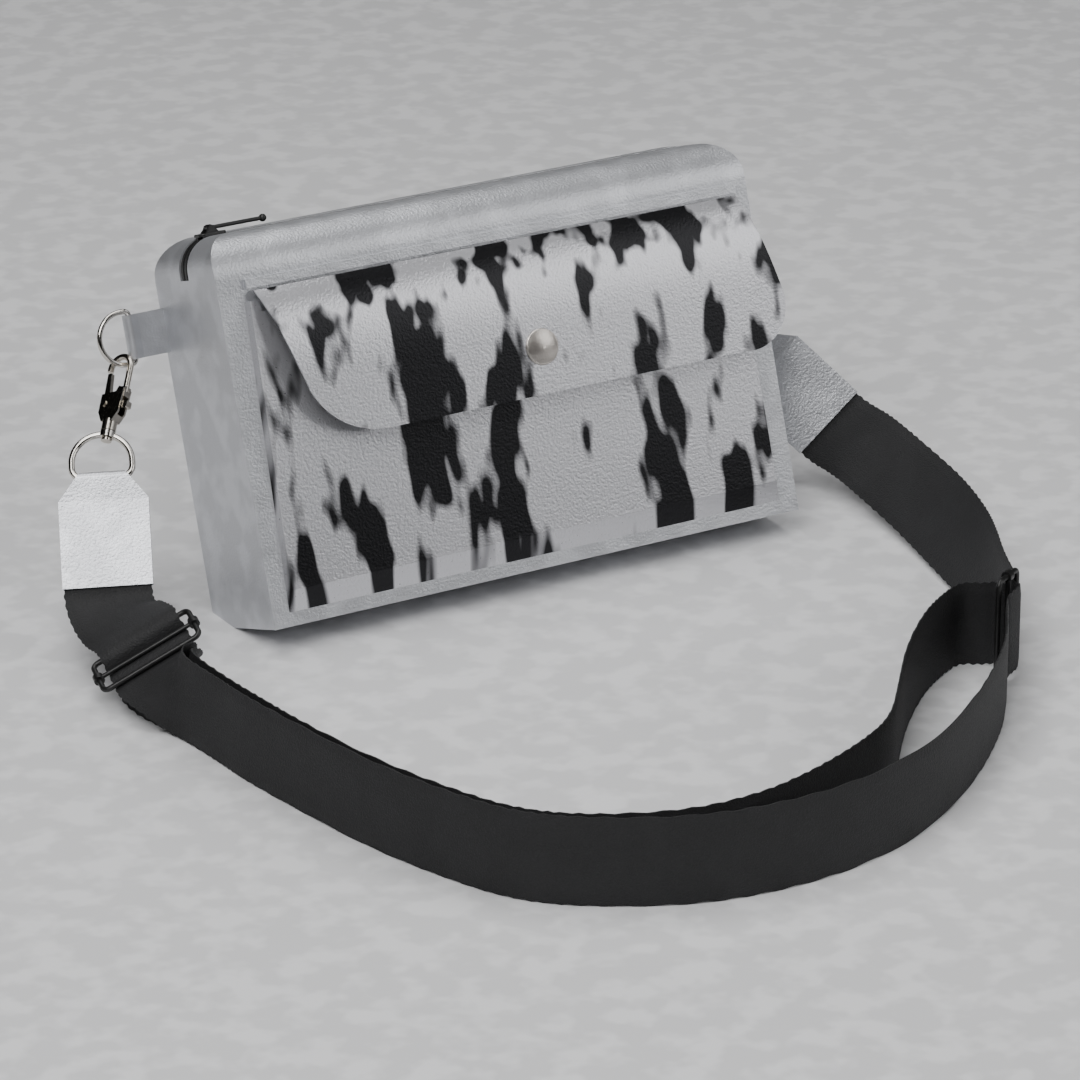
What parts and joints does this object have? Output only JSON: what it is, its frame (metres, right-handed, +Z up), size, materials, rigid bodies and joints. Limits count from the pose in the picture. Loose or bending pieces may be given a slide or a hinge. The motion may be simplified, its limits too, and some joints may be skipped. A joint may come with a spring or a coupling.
{
  "type": "shoulder bag",
  "caption": "Flat zip-top shoulder bag with a snap-flap front pocket, D-rings and a clip-on webbing strap with wire adjusters.",
  "frame": {"origin": "middle of the flat patch that the base rests on, on the floor", "axes": "+Z up, -Y out of the front with the flap, +X along the zip towards its far end; the bag leans back 18.5 degrees"},
  "size_m": [0.4227, 0.4052, 0.1716],
  "materials": {
    "silver_leather": "satin metallic",
    "printed_leather": "gloss metallic with black brush strokes",
    "lining_fabric": "plain weave",
    "zip_tape": "woven",
    "zip_coil": "satin",
    "black_metal": "satin",
    "webbing": "ribbed weave",
    "nickel": "polished",
    "clasp_nickel": "polished",
    "satin_nickel": "satin",
    "spring_steel": "plain"
  },
  "bodies": {
    "bag": {"back_panel": "silver_leather", "back_zip_coil": "zip_coil", "back_zip_tape": "zip_tape", "base_panel": "silver_leather", "flap_root": "printed_leather", "front_panel": "silver_leather", "front_zip_coil": "zip_coil", "front_zip_tape": "zip_tape", "left_adjuster_bar": "nickel", "left_adjuster_frame": "nickel", "left_gusset": "silver_leather", "left_ring_tab": "silver_leather", "left_strap_tab": "silver_leather", "left_swivel_loop": "clasp_nickel", "lining": "lining_fabric", "pocket_panel": "printed_leather", "right_adjuster_bar": "nickel", "right_adjuster_frame": "nickel", "right_gusset": "silver_leather", "right_ring_tab": "silver_leather", "right_strap_tab": "silver_leather", "right_swivel_loop": "clasp_nickel", "snap_post": "nickel", "snap_stud": "nickel", "webbing_inner": "webbing", "webbing_outer": "webbing", "zip_stops": "nickel"},
    "flap": {"flap_panel": "printed_leather", "flap_lining": "lining_fabric", "snap_cap": "satin_nickel", "snap_socket": "nickel"},
    "zip_slider": {"zip_slider": "black_metal"},
    "zip_pull": {"zip_pull": "black_metal"},
    "left_ring": {"left_d_ring": "nickel"},
    "right_ring": {"right_d_ring": "nickel"},
    "left_clasp": {"left_clasp_hook": "clasp_nickel", "left_clasp_pin": "clasp_nickel", "left_clasp_spring": "spring_steel"},
    "right_clasp": {"right_clasp_hook": "clasp_nickel", "right_clasp_pin": "clasp_nickel", "right_clasp_spring": "spring_steel"},
    "left_trigger": {"left_clasp_trigger": "clasp_nickel"},
    "right_trigger": {"right_clasp_trigger": "clasp_nickel"}
  },
  "joints": [
    {"name": "flap_fold", "type": "hinge", "parent": "bag", "child": "flap", "pos_m": [0, -0.00381, 0.14979], "axis": [-1, 0, 0], "range_deg": [0, 130]},
    {"name": "zip_travel", "type": "slide", "parent": "bag", "child": "zip_slider", "axis": [1, 0, 0], "range_m": [0, 0.228]},
    {"name": "zip_pull_hinge", "type": "hinge", "parent": "zip_slider", "child": "zip_pull", "pos_m": [-0.1175, 0.03483, 0.1657], "axis": [0, -0.9483, 0.3173], "range_deg": [0, 150]},
    {"name": "left_ring_swing", "type": "hinge", "parent": "bag", "child": "left_ring", "pos_m": [-0.149, 0.04788, 0.11804], "axis": [0, 0.3173, 0.9483], "range_deg": [-6, 6]},
    {"name": "left_clasp_swivel", "type": "hinge", "parent": "bag", "child": "left_clasp", "pos_m": [-0.17161, 0.02821, 0.0856], "axis": [0.4918, 0.519, 0.6991], "range_deg": [-25, 4]},
    {"name": "left_trigger_press", "type": "hinge", "parent": "left_clasp", "child": "left_trigger", "pos_m": [-0.16686, 0.03739, 0.09332], "axis": [0.754, 0.1477, -0.64], "range_deg": [0, 20], "stiffness_Nm_per_rad": 0.02, "springref_deg": -14.32},
    {"name": "right_ring_swing", "type": "hinge", "parent": "bag", "child": "right_ring", "pos_m": [0.149, 0.04788, 0.11804], "axis": [0, 0.3173, 0.9483], "range_deg": [-2, 6]},
    {"name": "right_clasp_swivel", "type": "hinge", "parent": "bag", "child": "right_clasp", "pos_m": [0.15579, 0.03805, 0.07635], "axis": [0.0193, 0.1972, 0.9802], "range_deg": [-25, 8]},
    {"name": "right_trigger_press", "type": "hinge", "parent": "right_clasp", "child": "right_trigger", "pos_m": [0.15509, 0.04352, 0.08802], "axis": [0.955, 0.2867, -0.0764], "range_deg": [0, 20], "stiffness_Nm_per_rad": 0.02, "springref_deg": -14.32}
  ]
}
